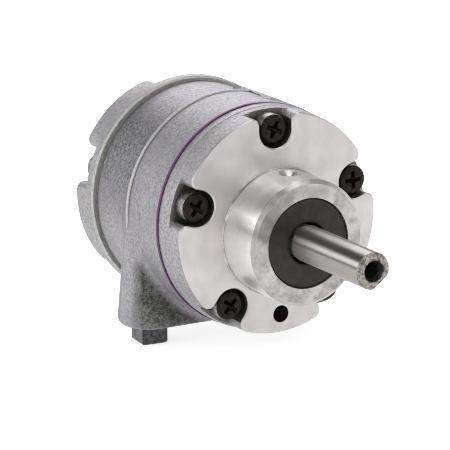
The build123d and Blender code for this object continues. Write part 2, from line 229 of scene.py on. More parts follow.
def ring_grooves(tree, at, pitch_mm, facing):
    """Noise that is the same all round the shaft's axis, as a lathe leaves it.

    It changes with the radius on a face that was turned flat, and else along the axis.
    """
    spot = node(tree, "ShaderNodeCombineXYZ")
    if facing:
        tree.links.new(distance_from(tree, at, 0.0), spot.inputs["X"])
    else:
        tree.links.new(channels(tree, at)["Y"], spot.inputs["Y"])
    return noise(tree, spot.outputs[0], pitch_mm, detail=3.0, roughness=0.6)


def boss_stain_and_shade(tree, at, rough, color):
    """The rough front of the port bosses, darkened where it faces forward below the plate, partly as
    stain and partly as painted shade; cleaner in patches and at the foot.
    """
    stain = blend(tree, stretch(tree, rough, 0.42, 0.62), (0.028, 0.027, 0.025), (0.15, 0.148, 0.145))
    clean = blend(tree, stretch(tree, rough, 0.40, 0.62), (0.08, 0.079, 0.077), (0.25, 0.247, 0.243))
    axis = distance_from(tree, at, CASTING_HEIGHT)
    patch = noise(tree, at, 5.0, detail=3.0)
    foot = stretch_mm(tree, axis, 33.5, 44.5, -0.12, 0.17)
    total = combined(tree, "ADD", patch, foot)
    mixed = blend(tree, stretch(tree, total, 0.42, 0.66), stain, clean)
    normal = tree.nodes.new("ShaderNodeTexCoord").outputs["Normal"]
    facing = stretch(tree, channels(tree, normal)["Y"], -0.35, -0.75)
    low = stretch_mm(tree, channels(tree, at)["Z"], -7.5, -11.0)
    outside = stretch_mm(tree, axis, 30.5, 32.2)
    # Stain and painted shade on the lower faces that look forward
    return blend(tree, product(tree, facing, low, outside), color, mixed)


def housing_stains_and_shade(tree, at, color, deep):
    """Stains and painted shade on the front of the bosses, painted shade and specks on the barrel
    round the wide band, and a dark joint at the dead end plate.
    """
    rough = noise(tree, at, 0.75, detail=4.0, roughness=0.85)
    color = boss_stain_and_shade(tree, at, rough, color)
    parts = channels(tree, at)
    y, z = parts["Y"], parts["Z"]
    behind = stretch_mm(tree, y, BAND_REAR - 0.2, BAND_REAR + 0.2)

    # Painted shade at the foot of the band
    near = stretch_mm(tree, y, BAND_REAR + 4.5, BAND_REAR + 0.5, 0.0, 0.5)
    color = blend(tree, product(tree, near, behind), color, times(deep, 1.2))

    # Painted shade: darker on the upper sides, most behind the band, and speckled there behind the
    # band
    rising = stretch_mm(tree, z, -4.0, 12.0, 0.0, 0.45)
    upper = product(tree, rising, stretch_mm(tree, z, 30.0, 23.5))
    shaded = product(tree, upper, stretch(tree, behind, 0.0, 1.0, 0.35, 1.0))
    color = blend(tree, shaded, color, times(deep, 1.2))
    specks = product(tree, upper, behind, stretch(tree, rough, 0.46, 0.58, 0.0, 1.6))
    color = blend(tree, specks, color, times(deep, 0.35))

    # A painted shadow line in front of the band's rolled edge, and a dark joint at the dead end plate
    before = stretch_mm(tree, y, BAND_REAR - 2.1, BAND_REAR - 1.6, 0.0, 0.7)
    high = stretch_mm(tree, z, -2.0, 4.0)
    banded = stretch_mm(tree, y, BAND_REAR + 0.1, BAND_REAR - 0.1)
    color = blend(tree, product(tree, before, high, banded), color, times(deep, 0.8))
    joint = stretch_mm(tree, y, HOUSING_BACK - 0.6, HOUSING_BACK, 0.0, 0.8)
    return blend(tree, joint, color, times(deep, 0.4))


def pad_highlight_fade(tree, at, color, pale):
    """The pad's painted highlight fades: it gets darker towards its rear end."""
    rear = stretch_mm(tree, channels(tree, at)["Y"], 29.0, 33.0)
    return blend(tree, rear, color, times(pale, 0.45))


def pocket_shade_fade(tree, at, color, pale):
    """A screw pocket is painted dark as shade, except near the rim of the plate."""
    rim = stretch_mm(tree, distance_from(tree, at, CASTING_HEIGHT), 27.6, 29.4)
    return blend(tree, rim, color, times(pale, 2.4))


def cast_metal(name, tone, dark, tint, edge_mm=0.3, wear_and_painted_light=None):
    """Sand cast aluminium: coarse grain with darker pits, clouds of tone, and the wear and painted
    light of a part.
    """
    material, tree, shader = material_tree(name)
    at = place(tree)
    coarse = noise(tree, at, 0.8, roughness=0.65)
    fine = noise(tree, at, 0.28, roughness=0.65)
    cloud = noise(tree, at, 7.0, detail=4.0, roughness=0.6)
    pale = times(tint, tone)
    deep = times(tint, dark)
    color = blend(tree, stretch(tree, coarse, 0.34, 0.62), deep, pale)
    color = blend(tree, stretch(tree, fine, 0.42, 0.66), color, times(pale, 1.15))
    color = blend(tree, stretch(tree, cloud, 0.35, 0.65, 0.0, 0.5), color, times(pale, 0.72))
    if wear_and_painted_light == "housing":
        color = housing_stains_and_shade(tree, at, color, deep)
    elif wear_and_painted_light == "pad":
        color = pad_highlight_fade(tree, at, color, pale)
    elif wear_and_painted_light == "pocket":
        color = pocket_shade_fade(tree, at, color, pale)
    tree.links.new(color, shader.inputs["Base Color"])
    shader.inputs["Metallic"].default_value = 0.8
    tree.links.new(stretch(tree, fine, 0.3, 0.7, 0.44, 0.62), shader.inputs["Roughness"])
    under = bump(tree, coarse, 0.22, soft_edges(tree, edge_mm))
    tree.links.new(bump(tree, fine, 0.10, under), shader.inputs["Normal"])
    return material


def turned_metal(
    name, color, roughness, groove_mm=0.25, depth_mm=0.008, turning=0.5, facing=True, stain=0.35,
    lines=0.2, edge_mm=0.15, cloud_mm=6.0, blotch=0.0,
):
    """Metal from the lathe, with fine rings round the shaft's axis, faint stains and blotches."""
    material, tree, shader = material_tree(name)
    at = place(tree)
    rings = ring_grooves(tree, at, groove_mm, facing)
    cloud = noise(tree, at, cloud_mm)
    final = blend(tree, stretch(tree, cloud, 0.35, 0.65, 0.0, stain), color, times(color, 0.7))
    final = blend(tree, stretch(tree, rings, 0.35, 0.65, 0.0, lines), final, times(color, 0.6))
    if blotch:
        worn = stretch(tree, noise(tree, at, 2.6, detail=5.0, roughness=0.62), 0.46, 0.66, 0.0, blotch)
        final = blend(tree, worn, final, times(color, 0.38))
    tree.links.new(final, shader.inputs["Base Color"])
    shader.inputs["Metallic"].default_value = 1.0
    rough = stretch(tree, cloud, 0.3, 0.7, roughness - 0.03, roughness + 0.06)
    tree.links.new(rough, shader.inputs["Roughness"])
    shader.inputs["Anisotropic"].default_value = turning
    shader.inputs["Anisotropic Rotation"].default_value = 0.25
    around = node(tree, "ShaderNodeTangent", direction_type="RADIAL", axis="Y")
    tree.links.new(around.outputs["Tangent"], shader.inputs["Tangent"])
    rounded = soft_edges(tree, edge_mm) if edge_mm else None
    tree.links.new(bump(tree, rings, depth_mm, rounded), shader.inputs["Normal"])
    return material


def dirty_shaft_end(name):
    """The end face of the shaft: turned, stained brown, with old grease round the hole."""
    material, tree, shader = material_tree(name)
    at = place(tree)
    spots = noise(tree, at, 0.7, detail=3.0, roughness=0.7)
    patches = noise(tree, at, 1.6, detail=3.0)
    speckled = stretch(tree, spots, 0.36, 0.60)
    metal = blend(tree, speckled, (0.11, 0.09, 0.077), (0.40, 0.375, 0.345))
    uneven = stretch(tree, patches, 0.3, 0.7, -0.5 * MM, 0.4 * MM)
    radius = combined(tree, "ADD", distance_from(tree, at, 0.0), uneven)
    grease = stretch_mm(tree, radius, 3.1, 2.6)
    tree.links.new(blend(tree, grease, metal, (0.03, 0.03, 0.026)), shader.inputs["Base Color"])
    shader.inputs["Metallic"].default_value = 0.85
    tree.links.new(stretch(tree, spots, 0.3, 0.7, 0.32, 0.55), shader.inputs["Roughness"])
    tree.links.new(bump(tree, spots, 0.05, soft_edges(tree, 0.12)), shader.inputs["Normal"])
    return material


def seal_rubber(name):
    """Dull brown-black rubber, painted black as shade at the lip round the shaft and at the outer rim,
    where the gaps are.
    """
    material, tree, shader = material_tree(name)
    at = place(tree)
    radius = distance_from(tree, at, 0.0)
    grain = noise(tree, at, 0.6, detail=3.0, roughness=0.6)
    cloud = stretch(tree, noise(tree, at, 3.5, detail=4.0, roughness=0.6), 0.35, 0.65)
    face = blend(tree, cloud, (0.015, 0.012, 0.010), (0.030, 0.024, 0.019))
    # Painted shade in the gaps round the shaft and round the seal
    lip = stretch_mm(tree, radius, 6.3, 5.8)
    rim = stretch_mm(tree, radius, 11.30, 11.45)
    ends = combined(tree, "MAXIMUM", lip, rim)
    tree.links.new(blend(tree, ends, face, (0.003, 0.003, 0.003)), shader.inputs["Base Color"])
    shader.inputs["Specular IOR Level"].default_value = 0.3
    tree.links.new(stretch(tree, grain, 0.3, 0.7, 0.44, 0.56), shader.inputs["Roughness"])
    tree.links.new(bump(tree, grain, 0.015, soft_edges(tree, 0.12)), shader.inputs["Normal"])
    return material


def gasket_card(name, color, top_highlight):
    """Coloured gasket card, mottled, and with a painted highlight: pale at the top towards the right
    side.
    """
    material, tree, shader = material_tree(name)
    at = place(tree)
    grain = noise(tree, at, 0.3, detail=3.0, roughness=0.6)
    cloud = noise(tree, at, 1.6, detail=3.0)
    mottled = blend(tree, stretch(tree, cloud, 0.3, 0.7), times(color, 0.45), color)
    parts = channels(tree, at)
    right = stretch_mm(tree, parts["X"], -4.0, 6.0, 0.0, 0.95)
    top = stretch_mm(tree, parts["Z"], 18.0, 24.0)
    # Painted highlight at the top right
    final = blend(tree, product(tree, right, top), mottled, top_highlight)
    tree.links.new(final, shader.inputs["Base Color"])
    tree.links.new(stretch(tree, grain, 0.3, 0.7, 0.49, 0.61), shader.inputs["Roughness"])
    tree.links.new(bump(tree, grain, 0.01, soft_edges(tree, 0.12)), shader.inputs["Normal"])
    return material


def edge_dirt(tree, reach_mm):
    """How much a point lies in the dirt along an edge: there, a rounded normal leaves the face's."""
    bent = node(tree, "ShaderNodeVectorMath", operation="DOT_PRODUCT")
    tree.links.new(soft_edges(tree, reach_mm), bent.inputs[0])
    tree.links.new(tree.nodes.new("ShaderNodeNewGeometry").outputs["Normal"], bent.inputs[1])
    return stretch(tree, bent.outputs["Value"], 0.98, 0.86, 0.0, 0.9)


def plain_surface(
    name, color, metallic, roughness, grain_mm=0.3, depth_mm=0.01, vary=0.25, edge_mm=0.12,
    gloss=0.5, cloud_mm=3.0, dirty_edges=False,
):
    """A surface with fine grain and a change of tone, and dirt along its edges where asked."""
    material, tree, shader = material_tree(name)
    at = place(tree)
    grain = noise(tree, at, grain_mm, detail=3.0, roughness=0.6)
    cloud = noise(tree, at, cloud_mm, detail=3.0)
    final = blend(tree, stretch(tree, cloud, 0.3, 0.7), times(color, 1.0 - vary), color)
    if dirty_edges:
        final = blend(tree, edge_dirt(tree, 0.8), final, times(color, 0.08))
    tree.links.new(final, shader.inputs["Base Color"])
    shader.inputs["Metallic"].default_value = metallic
    shader.inputs["Specular IOR Level"].default_value = gloss
    rough = stretch(tree, grain, 0.3, 0.7, roughness - 0.06, roughness + 0.06)
    tree.links.new(rough, shader.inputs["Roughness"])
    tree.links.new(bump(tree, grain, depth_mm, soft_edges(tree, edge_mm)), shader.inputs["Normal"])
    return material


# The housing's cast metal carries stains and painted shade
CAST = cast_metal("cast_housing", 0.395, 0.145, (0.98, 0.96, 1.0), wear_and_painted_light="housing")
CAST_PLATE = cast_metal("cast_end_plate", 0.43, 0.165, (0.985, 0.965, 1.0))
CAST_REAR = cast_metal("cast_rear_plate", 0.395, 0.145, (0.985, 0.965, 1.0))
# Lighter cast metal on rounded edges and on the band's ridge: a painted highlight
CAST_EDGE_HIGHLIGHT = cast_metal("cast_edge_painted_highlight", 0.54, 0.34, (1.0, 0.99, 0.98), edge_mm=0.15)
# Dark cast metal in the screw pockets and the port's thread: painted shade
CAST_POCKET_SHADE = cast_metal("cast_pocket_painted_shade", 0.085, 0.018, (1.0, 0.98, 0.92), edge_mm=0.2, wear_and_painted_light="pocket")
CAST_RIM = cast_metal("cast_rim", 0.47, 0.27, (0.98, 1.0, 0.93), edge_mm=0.12)
# Paler cast metal on the pad's flat and sides: partly a paler pad, partly a painted highlight
PAD_PALE_AND_HIGHLIGHT = cast_metal("cast_pad_pale_and_highlight", 0.60, 0.42, (1.0, 0.99, 1.0), edge_mm=0.2, wear_and_painted_light="pad")
MACHINED = turned_metal("machined_face", (0.585, 0.560, 0.556), 0.34, turning=0.6)
HUB = turned_metal(
    "turned_hub", (0.97, 0.955, 0.95), 0.30, groove_mm=0.35, depth_mm=0.004, turning=0.8,
    facing=False, stain=0.25, lines=0.25, cloud_mm=7.0, blotch=0.10,
)
HUB_EDGE = turned_metal(
    "turned_hub_edge", (0.50, 0.49, 0.485), 0.30, groove_mm=0.4, depth_mm=0.01, turning=0.3,
    stain=0.8, blotch=0.5,
)
DIMPLE = turned_metal(
    "drilled_dimple", (0.60, 0.59, 0.585), 0.26, groove_mm=0.4, depth_mm=0.004, turning=0.0,
    edge_mm=0.05,
)
HUB_END = turned_metal(
    "turned_hub_end", (0.56, 0.545, 0.535), 0.38, groove_mm=0.3, depth_mm=0.014, turning=0.4,
    stain=1.0, lines=0.4, cloud_mm=4.0, blotch=0.65,
)
COVER = turned_metal(
    "turned_cover", (0.56, 0.55, 0.545), 0.34, groove_mm=0.4, depth_mm=0.02, turning=0.6,
    stain=0.5, lines=0.5, blotch=0.3,
)
SHAFT = turned_metal(
    "ground_steel", (0.42, 0.40, 0.39), 0.33, groove_mm=0.3, depth_mm=0.002, turning=1.0,
    facing=False, stain=0.3, edge_mm=0.0, cloud_mm=9.0,
)
SHAFT_END = dirty_shaft_end("shaft_end")
BRIGHT = plain_surface("bright_steel", (0.66, 0.65, 0.64), 1.0, 0.25)
SPRING = plain_surface("spring_steel", (0.42, 0.42, 0.44), 1.0, 0.3)
BLACK = plain_surface(
    "black_screw", (0.026, 0.0185, 0.015), 0.2, 0.32, grain_mm=0.7, depth_mm=0.13, vary=0.92,
    edge_mm=0.2, gloss=0.15, cloud_mm=1.0,
)
# A lighter copy of the screws' colour on the side of the heads: painted highlight
SCREW_SIDE_HIGHLIGHT = plain_surface(
    "screw_side_painted_highlight", (0.42, 0.41, 0.395), 0.9, 0.42, grain_mm=0.4, depth_mm=0.05, vary=0.8,
    cloud_mm=0.8,
)
# Near black in the cross recesses of the screws: painted shade
RECESS_SHADE = plain_surface("screw_recess_painted_shade", (0.004, 0.004, 0.004), 0.0, 0.35, depth_mm=0.05)
# Dark grease in the holes and their threads, and the painted shadow in the pad's crevice
GREASE_AND_SHADE = plain_surface("grease_and_painted_shade", (0.022, 0.024, 0.020), 0.3, 0.35, grain_mm=0.5, depth_mm=0.05)
PLUG = plain_surface(
    "plated_plug", (0.20, 0.198, 0.212), 0.8, 0.42, depth_mm=0.05, vary=0.75, edge_mm=0.3,
    cloud_mm=0.9, dirty_edges=True,
)
# A darker copy of the plug's colour for its front sides: painted shade
PLUG_FRONT_SHADE = plain_surface(
    "plated_plug_front_painted_shade", (0.11, 0.108, 0.117), 0.8, 0.42, depth_mm=0.05, vary=0.8, edge_mm=0.3,
    cloud_mm=0.9, dirty_edges=True,
)
GASKET = gasket_card("purple_gasket", (0.092, 0.013, 0.108), (0.42, 0.38, 0.44))
OLIVE_GASKET = plain_surface(
    "olive_gasket", (0.19, 0.19, 0.175), 0.0, 0.6, vary=0.5, cloud_mm=2.0,
)
SEAL = seal_rubber("seal_rubber")
RUBBER = plain_surface("black_rubber", (0.012, 0.012, 0.012), 0.0, 0.5)
BRASS = plain_surface("cage_brass", (0.62, 0.45, 0.20), 1.0, 0.3)
IRON = plain_surface("rotor_iron", (0.28, 0.28, 0.29), 0.9, 0.45)
VANE = plain_surface("vane_composite", (0.16, 0.10, 0.06), 0.0, 0.55)


# Dress of the CAD nodes

# Nodes with one material all over
NODE_MATERIALS = {
    "drive_gasket": GASKET,
    "dead_gasket": OLIVE_GASKET,
    "front_screws": BLACK,
    "rear_screws": BLACK,
    "front_dowels": BRIGHT,
    "rear_dowels": BRIGHT,
    "seal_spring": SPRING,
    "bearing_spring": SPRING,
    "end_cap": COVER,
    "end_cap_seal": RUBBER,
    "end_cap_screws": BLACK,
    "rotor": IRON,
    "shaft_seal": SEAL,
}

# How near a face's centre has to be to a plane or a cylinder to count as on it
NEAR = 0.1
HALF_NEAR = 0.05


def dress(name, *materials):
    """Gives a CAD node its materials, the first one all over."""
    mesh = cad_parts[name].data
    mesh.materials.clear()
    for material in materials:
        mesh.materials.append(material)
    for face in mesh.polygons:
        face.material_index = 0


def dress_faces(name, index, chosen):
    """Gives the faces that a test picks by their centre and normal another slot."""
    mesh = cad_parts[name].data
    for face in mesh.polygons:
        if chosen(face.center / MM, face.normal):
            face.material_index = index


def off_axis(at):
    """The distance of a point from the shaft's axis."""
    return math.hypot(at.x, at.z)


def out_and_left(at, degrees):
    """How far out from the housing's axis a point lies in a direction, and how far to its left."""
    turn = math.radians(degrees)
    x, z = at.x, at.z - CASTING_HEIGHT
    return x * math.cos(turn) + z * math.sin(turn), z * math.cos(turn) - x * math.sin(turn)


def in_pocket(at):
    """Whether a point lies in the pocket of a plate screw, which is open to the rim."""
    reach = POCKET_RADIUS + 0.15
    for angle in SCREW_ANGLES:
        out, left = out_and_left(at, angle)
        past = out - SCREW_CIRCLE
        if abs(left) < reach and (past > 0 or math.hypot(past, left) < reach):
            return True
    return False


def in_jack_hole(at, _up):
    """The wall of the jack screw's hole."""
    x, z = JACK_HOLE
    return math.hypot(at.x - x, at.z - z) < JACK_RADIUS + HALF_NEAR and at.y > HALF_NEAR


def on_pad(at, _up):
    """The flat pad at the upper right of the housing: its flat, its sides and its front end."""
    out, left = out_and_left(at, PAD_ANGLE)
    flat = out > PAD_DISTANCE - NEAR
    side = abs(abs(left) - PAD_HALF) < NEAR and out > PAD_DISTANCE - PAD_SIDE
    end = abs(at.y - PAD_FRONT) < NEAR and out > PAD_DISTANCE - PAD_STEP
    inside = abs(left) < PAD_HALF + NEAR and PAD_FRONT - NEAR < at.y < PAD_BACK + NEAR
    return inside and (flat or side or end)


def on_machined_face(at, up):
    """The flat front of the drive end plate."""
    return at.y < 0.35 and up.y < -0.5


def on_front_pocket(at, _up):
    """The pockets of the drive end plate."""
    return 0.4 < at.y < FRONT_SEAT + NEAR and in_pocket(at)


def on_rear_pocket(at, _up):
    """The pockets of the dead end plate."""
    return REAR_SEAT - NEAR < at.y < PLATE_BACK and in_pocket(at)


def on_hub_end(at, _up):
    """The ring round the seal at the front of the hub."""
    return at.y < HUB_FRONT + HALF_NEAR and off_axis(at) > HUB_BORE


def on_hub_chamfer(at, _up):
    """The chamfer round the front of the hub."""
    start = HUB_FRONT + HALF_NEAR
    return start < at.y < start + CHAMFER_LENGTH and off_axis(at) > CHAMFER_RADIUS


def on_dimple(at, up):
    """The drilled dimple on top of the hub."""
    inside = DIMPLE_FLOOR < off_axis(at) < HUB_RADIUS - NEAR
    return DIMPLE_FRONT < at.y < DIMPLE_BACK and inside and up.z > 0.5


def on_ring_front(at, up):
    """The front of the dead end plate's ring."""
    return at.y < RING_BACK and up.y < -0.8


def on_rear_edge(at, up):
    """The rounded edges of the dead end plate, of its ring and in front of its pads, which get a
    painted highlight.
    """
    ring = at.y < RING_BACK and -0.8 < up.y < -0.12
    ledge = LEDGE_FRONT < at.y < LEDGE_BACK and 0.15 < up.y < 0.9
    return ring or ledge


def on_shaft_end(at, up):
    """The end face of the shaft and its chamfer, without the hole."""
    return at.y < SHAFT_TIP + TIP_CHAMFER and up.y < -0.15 and off_axis(at) > TIP_HOLE_RADIUS + NEAR


def in_shaft_hole(at, up):
    """The wall of the hole in the shaft's end, with its mouth."""
    return at.y < TIP_HOLE_END and off_axis(at) < TIP_MOUTH_RADIUS and up.y > -0.9


def on_plug_front(_at, up):
    """The sides of the plug's square head that face the front, which get a darker copy of the plug's
    colour as painted shade.
    """
    return up.y < -0.7


def dress_all():
    """Dresses every CAD node; the later of two tests wins where both pick a face."""
    for name, material in NODE_MATERIALS.items():
        dress(name, material)
    for number in range(1, 5):
        dress(f"vane_{number}", VANE)
    for side in ("front", "rear"):
        for part in ("outer", "inner", "balls", "shields"):
            dress(f"{side}_bearing_{part}", BRIGHT)
        dress(f"{side}_bearing_cage", BRASS)
    dress("body", CAST, PAD_PALE_AND_HIGHLIGHT)
    dress_faces("body", 1, on_pad)
    dress("drive_end_plate", CAST_PLATE, MACHINED, CAST_POCKET_SHADE, GREASE_AND_SHADE)
    dress_faces("drive_end_plate", 1, on_machined_face)
    dress_faces("drive_end_plate", 2, on_front_pocket)
    dress_faces("drive_end_plate", 3, in_jack_hole)
    dress("hub", HUB, HUB_END, HUB_EDGE, DIMPLE)
    dress_faces("hub", 1, on_hub_end)
    dress_faces("hub", 2, on_hub_chamfer)
    dress_faces("hub", 3, on_dimple)
    dress("dead_end_plate", CAST_REAR, CAST_RIM, CAST_POCKET_SHADE, CAST_EDGE_HIGHLIGHT)
    dress_faces("dead_end_plate", 1, on_ring_front)
    dress_faces("dead_end_plate", 3, on_rear_edge)
    dress_faces("dead_end_plate", 2, on_rear_pocket)
    dress("port_plug", PLUG, PLUG_FRONT_SHADE)
    dress_faces("port_plug", 1, on_plug_front)
    dress("shaft", SHAFT, SHAFT_END, GREASE_AND_SHADE)
    dress_faces("shaft", 1, on_shaft_end)
    dress_faces("shaft", 2, in_shaft_hole)


dress_all()


# Pieces made here

def to_mesh(built, name):
    """A mesh of what was built."""
    mesh = bpy.data.meshes.new(name)
    built.to_mesh(mesh)
    built.free()
    return mesh


def ring_at(built, outline, turn, height):
    """An outline of (radius, y) points, turned by an angle about an axis at that height."""
    ring = []
    for radius, y in outline:
        x = radius * math.cos(turn)
        z = height + radius * math.sin(turn)
        ring.append(built.verts.new((x * MM, y * MM, z * MM)))
    return ring


def skin(built, rings):
    """Faces between neighbouring rings."""
    for here, after in zip(rings, rings[1:]):
        for index in range(len(here)):
            nxt = (index + 1) % len(here)
            built.faces.new((here[index], here[nxt], after[nxt], after[index]))


def lathe_mesh(name, outline, segments, height=0.0):
    """A closed outline, turned all round an axis along Y."""
    built = bmesh.new()
    rings = [
        ring_at(built, outline, math.tau * step / segments, height) for step in range(segments)
    ]
    skin(built, rings + rings[:1])
    bmesh.ops.remove_doubles(built, verts=built.verts, dist=1e-7)
    bmesh.ops.recalc_face_normals(built, faces=built.faces)
    return to_mesh(built, name)


def capped_mesh(built, name, rings):
    """A closed mesh through rings, with a cap at each end."""
    skin(built, rings)
    for ring in (rings[0], rings[-1]):
        built.faces.new(ring)
    bmesh.ops.recalc_face_normals(built, faces=built.faces)
    return to_mesh(built, name)


def arc_mesh(name, outline, start, end):
    """A closed outline, swept round the housing's axis between two angles."""
    segments = 240
    built = bmesh.new()
    rings = []
    for step in range(segments + 1):
        turn = math.radians(start + (end - start) * step / segments)
        rings.append(ring_at(built, outline, turn, CASTING_HEIGHT))
    return capped_mesh(built, name, rings)


def finished(name, mesh_data, body, *materials):
    """Links a mesh as a piece that rides on a CAD body."""
    for material in materials:
        mesh_data.materials.append(material)
    for face in mesh_data.polygons:
        face.use_smooth = True
    piece = bpy.data.objects.new(name, mesh_data)
    bpy.context.scene.collection.objects.link(piece)
    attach(piece, body)
    return piece


# Plate screws: height and radius of the head, radii of the shank and of the thread's root, pitch
HEAD_HEIGHT = 4.5
HEAD_RADIUS = 3.92
SHANK_RADIUS = 2.38
ROOT_RADIUS = 2.08
SCREW_PITCH = 0.8

# Inside the first radius a face of a screw's head is in its recess, beyond the second on its side
RECESS_REACH = 2.75
SIDE_START = 3.8

# The cutter of the cross recess: at each depth below the top of the head, the half length and half
# width of its arms and the cut of its inner corners; it ends in a point
RECESS_LEVELS = [(-0.4, 2.50, 0.60, 0.42), (0.15, 2.42, 0.57, 0.40), (2.3, 1.2, 0.36, 0.14)]
RECESS_POINT = 3.0


def turned(x, z, turn):
    """The X and Z of a point after a turn about the Y axis."""
    return x * math.cos(turn) - z * math.sin(turn), x * math.sin(turn) + z * math.cos(turn)


def cross_outline(length, width, corner):
    """The points of a cross recess at one depth."""
    arm = [
        (length - 0.25 * width, -width), (length, -0.4 * width), (length, 0.4 * width),
        (length - 0.25 * width, width), (width + corner, width), (width, width + corner),
    ]
    turns = [math.tau * quarter / 4 for quarter in range(4)]
    return [turned(x, z, turn) for turn in turns for x, z in arm]


def recess_mesh(front, twist):
    """The tapered cutter of a cross recess below the top of a screw's head."""
    built = bmesh.new()
    rings = []
    for depth, length, width, corner in RECESS_LEVELS:
        ring = []
        for corner_x, corner_z in cross_outline(length, width, corner):
            x, z = turned(corner_x, corner_z, twist)
            ring.append(built.verts.new((x * MM, (front + depth) * MM, z * MM)))
        rings.append(ring)
    skin(built, rings)
    built.faces.new(rings[0])
    point = built.verts.new((0.0, (front + RECESS_POINT) * MM, 0.0))
    last = rings[-1]
    for index in range(len(last)):
        built.faces.new((last[index], last[(index + 1) % len(last)], point))
    bmesh.ops.recalc_face_normals(built, faces=built.faces)
    return to_mesh(built, "recess")


def cut(mesh, cutter_mesh):
    """A mesh with another one cut out of it."""
    target = bpy.data.objects.new("target", mesh)
    cutter = bpy.data.objects.new("cutter", cutter_mesh)
    for thing in (target, cutter):
        bpy.context.scene.collection.objects.link(thing)
    change = target.modifiers.new("cut", "BOOLEAN")
    change.operation = "DIFFERENCE"
    change.solver = "EXACT"
    change.object = cutter
    bpy.context.view_layer.update()
    graph = bpy.context.evaluated_depsgraph_get()
    made = bpy.data.meshes.new_from_object(target.evaluated_get(graph))
    bpy.data.objects.remove(target)
    bpy.data.objects.remove(cutter)
    return made


def screw_mesh(shank, twist):
    """A fillister head screw with a cross recess and a threaded shank; its head rests at Y 0.

    Its faces have slot 0, the side of the head slot 1 with a painted highlight, and the recess slot 2
    with painted shade.
    """
    front = -HEAD_HEIGHT
    outline = [
        (0.0, front), (2.0, front + 0.05), (3.0, front + 0.15), (3.45, front + 0.27),
        (3.72, front + 0.44), (3.86, front + 0.68), (HEAD_RADIUS, front + 1.0),
        (HEAD_RADIUS, -0.35), (3.78, -0.12), (3.5, 0.0), (SHANK_RADIUS, 0.0),
    ]
    y = 2.0
    while y < shank - SCREW_PITCH:
        outline += [(SHANK_RADIUS, y), (ROOT_RADIUS, y + SCREW_PITCH / 2)]
        y += SCREW_PITCH
    outline += [(1.7, shank), (0.0, shank)]
    mesh = cut(lathe_mesh("screw", outline, 64), recess_mesh(front, twist))
    for face in mesh.polygons:
        at = face.center / MM
        if off_axis(at) < RECESS_REACH and at.y < -1.0 and face.normal.y > -0.95:
            face.material_index = 2
        elif off_axis(at) > SIDE_START and at.y < -0.2:
            face.material_index = 1
        else:
            face.material_index = 0
    return mesh


def sharpen(piece):
    """Keeps the edges of a smooth piece that bend by more than 32 degrees."""
    limit = math.radians(32.0)
    mesh = piece.data
    built = bmesh.new()
    built.from_mesh(mesh)
    for edge in built.edges:
        if len(edge.link_faces) == 2:
            edge.smooth = edge.calc_face_angle(0.0) < limit
    built.to_mesh(mesh)
    built.free()


def plate_screws(name, replaced, seat, shank, backwards, twists):
    """All screws of one end plate as one piece."""
    built = bmesh.new()
    for angle, twist in zip(SCREW_ANGLES, twists):
        mesh = screw_mesh(shank, math.radians(twist))
        if backwards:
            mesh.transform(Matrix.Rotation(math.pi, 4, "X"))
        turn = math.radians(angle)
        x = SCREW_CIRCLE * math.cos(turn)
        z = CASTING_HEIGHT + SCREW_CIRCLE * math.sin(turn)
        mesh.transform(Matrix.Translation(Vector((x, seat, z)) * MM))
        built.from_mesh(mesh)
    piece = finished(name, to_mesh(built, name), "housing", BLACK, SCREW_SIDE_HIGHLIGHT, RECESS_SHADE)
    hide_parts(replaced)
    sharpen(piece)


def thread(name, material, body, base, direction, radius, length, pitch, depth):
    """The crests of a thread on the wall of a hole, as a fine helix that fades at both ends."""
    around = 48
    along = int(length / pitch * 6)
    axis = Vector(direction)
    side = axis.orthogonal().normalized()
    other = axis.cross(side)
    built = bmesh.new()
    rows = []
    for row in range(along + 1):
        reach = length * row / along
        fade = min(1.0, 4.0 * (length - reach) / length, 6.0 * reach / length)
        ring = []
        for step in range(around):
            turn = math.tau * step / around
            phase = (reach / pitch - step / around) % 1.0
            crest = 1.0 - abs(2.0 * phase - 1.0)
            size = radius + 0.02 - depth * crest * fade
            spot = Vector(base) + axis * reach
            spot += (side * math.cos(turn) + other * math.sin(turn)) * size
            ring.append(built.verts.new(spot * MM))
        rows.append(ring)
    skin(built, rows[::-1])
    finished(name, to_mesh(built, name), body, material)


def ridge(name, radius, y, height, width, material, gap=0.0):
    """A low ridge round the housing or a plate, with a gap of some degrees beside the pad."""
    steps = 8
    sunk = 0.08
    outline = []
    for step in range(steps + 1):
        turn = math.pi * step / steps
        crown = radius - sunk + (height + sunk) * math.sin(turn)
        outline.append((crown, y - width * math.cos(turn)))
    outline += [(radius - 0.3, y + width), (radius - 0.3, y - width)]
    if gap:
        mesh = arc_mesh(name, outline, PAD_ANGLE + gap, PAD_ANGLE + 360.0 - gap)
    else:
        mesh = lathe_mesh(name, outline, 256, CASTING_HEIGHT)
    finished(name, mesh, "housing", material)


def pad_crevice_shadow():
    """A painted shadow: a dark sliver in the crevice along the left foot of the pad, narrower in
    front.
    """
    turn = math.radians(PAD_ANGLE)
    out = Vector((math.cos(turn), 0.0, math.sin(turn)))
    left = Vector((-math.sin(turn), 0.0, math.cos(turn)))
    length = 6.5
    steps = 8
    side = PAD_HALF - 0.05
    built = bmesh.new()
    rings = []
    for step in range(steps + 1):
        share = step / steps
        y = BAND_REAR + 0.1 - length * share
        size = 0.55 * (1.0 - 0.75 * share) * (1.0 + 0.25 * math.sin(9.0 * share))
        foot = math.sqrt(BAND_RADIUS ** 2 - (PAD_HALF + size) ** 2)
        corners = ((foot - 0.4, side), (foot + 0.9 * size, side), (foot + 0.02, PAD_HALF + size))
        ring = []
        for reach, aside in corners:
            spot = out * reach + left * aside + Vector((0.0, y, CASTING_HEIGHT))
            ring.append(built.verts.new(spot * MM))
        rings.append(ring)
    finished("pad_crevice_shadow", capped_mesh(built, "pad_crevice_shadow", rings), "housing", GREASE_AND_SHADE)


